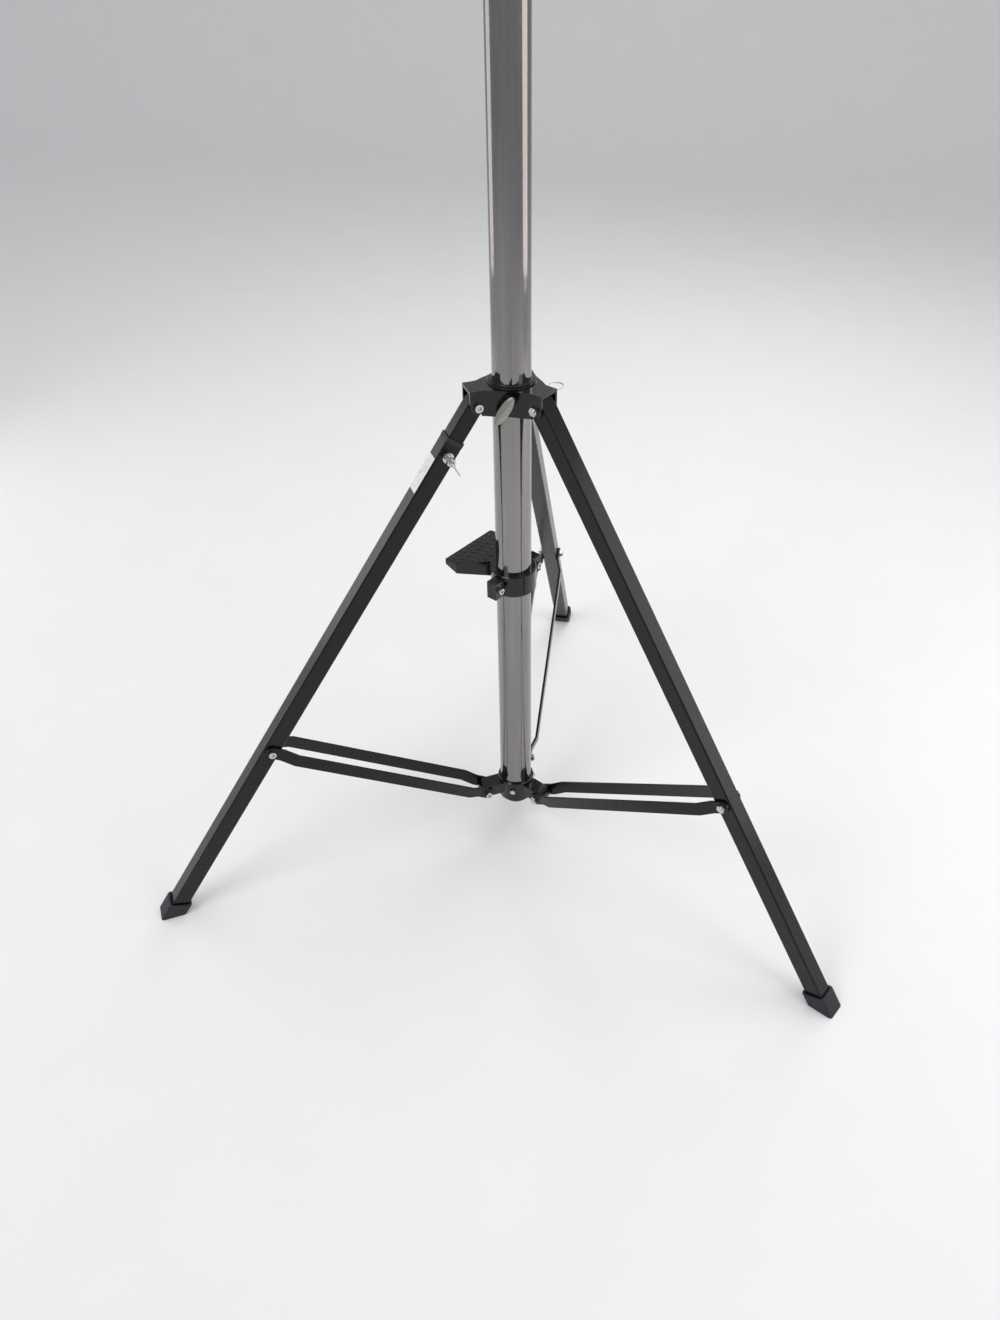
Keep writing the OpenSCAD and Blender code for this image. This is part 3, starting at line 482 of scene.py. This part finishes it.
class STAND_OT_stage(bpy.types.Operator):
    """Camera, floor and soft lights"""

    bl_idname = "stand.stage"
    bl_label = "Stage"

    def execute(self, context):
        scene = context.scene
        colours = scene.stand_colours
        self.camera(scene)
        self.floor(colours)
        self.lights(scene)
        return {"FINISHED"}

    def camera(self, scene):
        """Standing eye height, a step and a half in front, looking down at the tripod."""
        data = bpy.data.cameras.new("camera")
        data.sensor_fit = "VERTICAL"
        data.sensor_height = 36.0
        data.lens = scene.stand_sizes.lens
        data.clip_end = 50.0
        yaw, pitch, roll = (math.radians(a) for a in (-11.262, 39.073, 1.248))
        ahead = Vector((math.sin(yaw) * math.cos(pitch), math.cos(yaw) * math.cos(pitch), -math.sin(pitch)))
        right = Vector((math.cos(yaw), -math.sin(yaw), 0))
        down = ahead.cross(right)
        side = right * math.cos(roll) + down * math.sin(roll)
        up = right * math.sin(roll) - down * math.cos(roll)
        made = bpy.data.objects.new("camera", data)
        made.matrix_world = Matrix.Translation(Vector((0.2735, MAST.y - 1.5094, 1.6581))) @ Matrix(
            (side, up, -ahead)).transposed().to_4x4()
        scene.collection.objects.link(made)
        scene.camera = made

    def floor(self, colours):
        mesh = bpy.data.meshes.new("floor")
        half, rise, steps, bend = 6.0, 4.0, 12, 1.5
        # floor, a quarter-round sweep behind, and a wall
        line = [(-half, 0.0), (half - bend, 0.0)]
        line += [(half - bend + bend * math.sin(t), bend - bend * math.cos(t))
                 for t in (k * math.pi / 2 / steps for k in range(1, steps + 1))]
        line.append((half, rise))
        verts = [(x, y, z - 0.0002) for y, z in line for x in (-half, half)]
        faces = [(2 * k, 2 * k + 1, 2 * k + 3, 2 * k + 2) for k in range(len(line) - 1)]
        mesh.from_pydata(verts, [], faces)
        for face in mesh.polygons:
            face.use_smooth = True
        mesh.materials.append(studio_floor(colours))
        made = bpy.data.objects.new("floor", mesh)
        bpy.context.scene.collection.objects.link(made)

    def lights(self, scene):
        for name, place, size, power, tint in (
            ("key_softbox", (-1.6, -2.2, 3.2), (1.6, 1.6), 34.0, (1.0, 0.985, 0.96)),
            ("fill_softbox", (2.4, -1.4, 2.2), (1.2, 1.8), 14.0, (0.97, 0.985, 1.0)),
            ("top_softbox", (0.2, 0.4, 3.6), (2.2, 2.2), 26.0, (1.0, 1.0, 1.0)),
            ("rim_softbox", (0.6, 2.4, 2.4), (1.6, 1.0), 18.0, (1.0, 0.98, 0.95)),
            ("right_strip", (2.3, 0.2, 0.9), (1.4, 1.3), 10.0, (1.0, 0.95, 0.9)),
            ("left_strip", (-2.4, 0.4, 0.7), (1.4, 0.9), 5.0, (1.0, 0.97, 0.94)),
        ):
            data = bpy.data.lights.new(name, "AREA")
            data.shape = "RECTANGLE"
            data.size, data.size_y = size
            data.energy = power
            data.color = tint
            made = bpy.data.objects.new(name, data)
            aim = (Vector((0, MAST.y, 0.6)) - Vector(place)).to_track_quat("-Z", "Y")
            made.matrix_world = Matrix.Translation(place) @ aim.to_matrix().to_4x4()
            scene.collection.objects.link(made)
        world = bpy.data.worlds.new("studio")
        world.use_nodes = True
        back = world.node_tree.nodes["Background"]
        back.inputs["Color"].default_value = (0.92, 0.94, 0.97, 1.0)
        back.inputs["Strength"].default_value = 0.5
        scene.world = world
        scene.view_settings.view_transform = "Standard"


class STAND_OT_finishes(bpy.types.Operator):
    """Puts each slot's finish on the nodes that carry over as they are"""

    bl_idname = "stand.finishes"
    bl_label = "Finishes"

    def execute(self, context):
        for name, node in NODES.items():
            node.data.materials.clear()
            node.data.materials.append(finish_for(SLOT_OF_NODE[name]))
        return {"FINISHED"}


class STAND_OT_castings(bpy.types.Operator):
    """Castings, bars and boots with rounded edges"""

    bl_idname = "stand.castings"
    bl_label = "Castings"

    cast = ("hub_casting", "lower_collar", "step_plate", "step_clamp", "drive_housing", "drive_cover",
            "mast_collar", "riser_collar", "head_socket", "crank_arm", "base_plug")
    bars = ("rear_brace_bars", "right_brace_bars", "left_brace_bars")
    boots = ("rear_boot", "right_boot", "left_boot")

    def execute(self, context):
        sizes = context.scene.stand_sizes
        for node in self.cast:
            rounded_copy(node, sizes.casting_edge, 3)
        for node in self.bars:
            rounded_copy(node, sizes.sheet_edge)
        for node in self.boots:
            rounded_copy(node, 2.2, 4, 30.0)
        return {"FINISHED"}


class STAND_OT_knobs(bpy.types.Operator):
    """Cast wing knobs: screw, hub and a lens-shaped wing with a ridge"""

    bl_idname = "stand.knobs"
    bl_label = "Wing knobs"

    # node, joint, lean of the wing in degrees, stud radius, hub radius,
    # and how far before the wing's outer face the hub starts
    knobs = (("wing_knob", "wing_knob_turn", -30.0, 0.0040, 0.0075, 0.017),
             ("mast_knob", "mast_knob_turn", 0.0, 0.0050, 0.0090, 0.019),
             ("riser_knob", "riser_knob_turn", 0.0, 0.0050, 0.0090, 0.019),
             ("head_knob", "head_knob_turn", 0.0, 0.0050, 0.0090, 0.019))

    def execute(self, context):
        thick = context.scene.stand_sizes.wing_thick
        for node, joint, lean, stem, hub, hub_from in self.knobs:
            base = joint_frame(joint)
            inverse = base.inverted()
            local = [inverse @ v.co for v in NODES[node].data.vertices]
            near = min(p.x for p in local)
            far = max(p.x for p in local)
            upright = Matrix.Rotation(math.radians(-lean), 3, "X")
            turned = [upright @ p for p in local if p.x > far - 0.006]
            half_l = max(abs(p.z) for p in turned)
            half_w = max(abs(p.y) for p in turned)
            bm = bmesh.new()
            start = far - hub_from
            boss = [(start, hub * 0.86), (start + 0.002, hub), (far - 0.008, hub),
                    (far - 0.004, hub * 0.8), (far - 0.004, 0)]
            lathe(bm, self.screw(near, start, stem) + boss, base)
            tilted = base @ Matrix.Rotation(math.radians(lean), 4, "X")
            self.wing(bm, tilted, half_l, half_w, far - thick, far)
            mesh = to_mesh(node + "_cast", bm, 50.0)
            piece(node + "_cast", mesh, BODY_OF_NODE[node], "zinc_casting", (node,))
        return {"FINISHED"}

    def screw(self, start, end, radius):
        """Profile of a threaded stud."""
        pitch = 0.00125
        line = [(start, 0), (start, radius * 0.8), (start + pitch / 2, radius * 0.86)]
        x = start + pitch
        while x < end - pitch:
            line += [(x, radius), (x + pitch / 2, radius * 0.86)]
            x += pitch
        return line

    def wing(self, bm, matrix, half_l, half_w, x0, x1):
        """A lens outline, thickest on a slanting ridge, with soft edges."""
        along, across = 28, 10
        middle, half_t = (x0 + x1) / 2, (x1 - x0) / 2
        grid = {}
        for side in (1, -1):
            for i in range(along + 1):
                u = -1 + 2 * i / along
                width = half_w * max(0.0, 1 - abs(u) ** 2.3) ** 0.62
                for j in range(across + 1):
                    v = -1 + 2 * j / across
                    edge = i in (0, along) or j in (0, across)
                    if edge and side < 0:
                        grid[side, i, j] = grid[1, i, j]
                        continue
                    crown = (1 - abs(v) ** 1.6) * 0.72 + 0.28 * (1 - v * v) ** 0.5
                    ridge = 0.22 * math.exp(-((v - 0.22 * u) / 0.16) ** 2) * (1 - u * u)
                    x = middle + side * half_t * min(1.0, (0.8 * crown + ridge) * (1 - abs(u) ** 5))
                    grid[side, i, j] = bm.verts.new(matrix @ Vector((x, v * width, u * half_l)))
        for side in (1, -1):
            for i in range(along):
                for j in range(across):
                    spots = ((i, j), (i + 1, j), (i + 1, j + 1), (i, j + 1))
                    corners = list(dict.fromkeys(grid[(side, *spot)] for spot in spots))
                    if len(corners) > 2:
                        bm.faces.new(corners)
        bmesh.ops.remove_doubles(bm, verts=bm.verts, dist=1e-6)


class STAND_OT_springs(bpy.types.Operator):
    """Real coils in place of the plain springs"""

    bl_idname = "stand.springs"
    bl_label = "Springs"

    def execute(self, context):
        for node, joint in (("hub_pin_spring", "hub_pin_pull"), ("level_pin_spring", "level_pin_pull")):
            axis = Vector(JOINTS[joint]["axis"]).normalized()
            self.coil(node, axis, 7, 0.0004)
        self.coil("brake_spring", Vector((1, 0, 0)), 5, 0.0009)
        return {"FINISHED"}

    def coil(self, node, axis, turns, wire):
        middle = centre(node)
        local = [v.co - middle for v in NODES[node].data.vertices]
        along = [p.dot(axis) for p in local]
        low, high = min(along) + wire, max(along) - wire
        radius = max((p - axis * p.dot(axis)).length for p in local) - wire
        side = axis.orthogonal().normalized()
        other = axis.cross(side)
        path = []
        for k in range(turns * 20 + 1):
            t = k / (turns * 20)
            angle = 2 * math.pi * turns * t
            out = side * math.cos(angle) + other * math.sin(angle)
            path.append(middle + axis * (low + (high - low) * t) + out * radius)
        bm = bmesh.new()
        sweep(bm, path, wire, 8)
        piece(node + "_coil", to_mesh(node + "_coil", bm, 60.0), BODY_OF_NODE[node], "bright_steel", (node,))


class STAND_OT_tread(bpy.types.Operator):
    """Domed anti-slip dashes on the step's tread"""

    bl_idname = "stand.tread"
    bl_label = "Tread dashes"

    half_w, rise = 0.0016, 0.0013

    def execute(self, context):
        tops = [v.co.copy() for v in NODES["step_plate"].data.vertices]
        crown = max(p.z for p in tops)
        tops = [p for p in tops if p.z > crown - 0.0001]
        bm = bmesh.new()
        while tops:
            seed = tops[0]
            island = [p for p in tops if (p - seed).length < 0.0086]
            tops = [p for p in tops if (p - seed).length >= 0.0086]
            middle = sum(island, Vector()) / len(island)
            ends = max(((a, b) for a in island for b in island), key=lambda ab: (ab[0] - ab[1]).length)
            along = ends[0] - ends[1]
            if along.length < 0.005:
                continue
            along.normalize()
            base = Matrix((along, Vector((0, 0, 1)).cross(along), Vector((0, 0, 1)))).transposed().to_4x4()
            middle.z = crown - 0.0008
            base = Matrix.Translation(middle) @ base @ Matrix.Diagonal((1, 1, self.rise / self.half_w, 1))
            half_l = 0.0043
            turn = [math.pi * k / 10 for k in range(11)]
            dome = [(-half_l * math.cos(t), self.half_w * math.sin(t)) for t in turn]
            lathe(bm, dome, base, 16)
        piece("tread_dashes", to_mesh("tread_dashes", bm, 60.0), "mast", "gloss_black_casting")
        return {"FINISHED"}


class STAND_OT_details(bpy.types.Operator):
    """The label's film and border"""

    bl_idname = "stand.details"
    bl_label = "Details"

    def execute(self, context):
        self.label()
        return {"FINISHED"}

    def leg_axes(self):
        """Left leg's axes: down the leg, out of its front side, out of its outer face."""
        down = Vector(JOINTS["level_slide"]["axis"]).normalized()
        front = Vector(JOINTS["level_pin_pull"]["axis"]).normalized()
        outer = front.cross(down)
        outer = outer if outer.z > 0 else -outer
        return down, front, outer

    def label(self):
        """A film with a thin raised border, wrapped flat on the outer face."""
        down, front, outer = self.leg_axes()
        middle = centre("leg_label")
        local = [v.co - middle for v in NODES["leg_label"].data.vertices]
        half_l = max(abs(p.dot(down)) for p in local)
        half_w = max(abs(p.dot(front)) for p in local)
        thick = max(abs(p.dot(outer)) for p in local) * 2
        base = Matrix((down, front, outer)).transposed().to_4x4()
        base = Matrix.Translation(middle - outer * thick / 2) @ base
        bm = bmesh.new()
        steps = ((0.0, 0.0), (0.0, thick * 0.85), (0.0004, thick), (0.0012, thick), (0.0016, thick * 0.6))
        rings = []
        for inset, z in steps:
            rings.append([bm.verts.new(base @ Vector((x * (half_l - inset), y * (half_w - inset), z)))
                          for x, y in ((-1, -1), (1, -1), (1, 1), (-1, 1))])
        for a, b in zip(rings, rings[1:]):
            for k in range(4):
                bm.faces.new((a[k], a[(k + 1) % 4], b[(k + 1) % 4], b[k]))
        bm.faces.new(rings[0])
        bm.faces.new(rings[-1])
        mesh = to_mesh("leg_label_film", bm, 20.0)
        piece("leg_label_film", mesh, "left_sleeve", "white_label", ("leg_label",))


class STAND_PT_panel(bpy.types.Panel):
    """Lists the stand's operators and colours"""

    bl_idname = "STAND_PT_panel"
    bl_label = "Wind-up stand"
    bl_space_type = "VIEW_3D"
    bl_region_type = "UI"
    bl_category = "Stand"

    def draw(self, context):
        for made in OPERATORS:
            self.layout.operator(made.bl_idname)
        for group in (context.scene.stand_sizes, context.scene.stand_colours):
            for name in group.__annotations__:
                self.layout.prop(group, name)


OPERATORS = (STAND_OT_stage, STAND_OT_finishes, STAND_OT_castings, STAND_OT_knobs,
             STAND_OT_springs, STAND_OT_tread, STAND_OT_details)
CLASSES = (StandSizes, StandColours, *OPERATORS, STAND_PT_panel)


def register():
    for made in CLASSES:
        bpy.utils.register_class(made)
    bpy.types.Scene.stand_sizes = bpy.props.PointerProperty(type=StandSizes)
    bpy.types.Scene.stand_colours = bpy.props.PointerProperty(type=StandColours)


def unregister():
    del bpy.types.Scene.stand_colours
    del bpy.types.Scene.stand_sizes
    for made in reversed(CLASSES):
        bpy.utils.unregister_class(made)


def main():
    register()
    for made in OPERATORS:
        group, name = made.bl_idname.split(".")
        getattr(getattr(bpy.ops, group), name)()


if __name__ == "__main__":
    main()
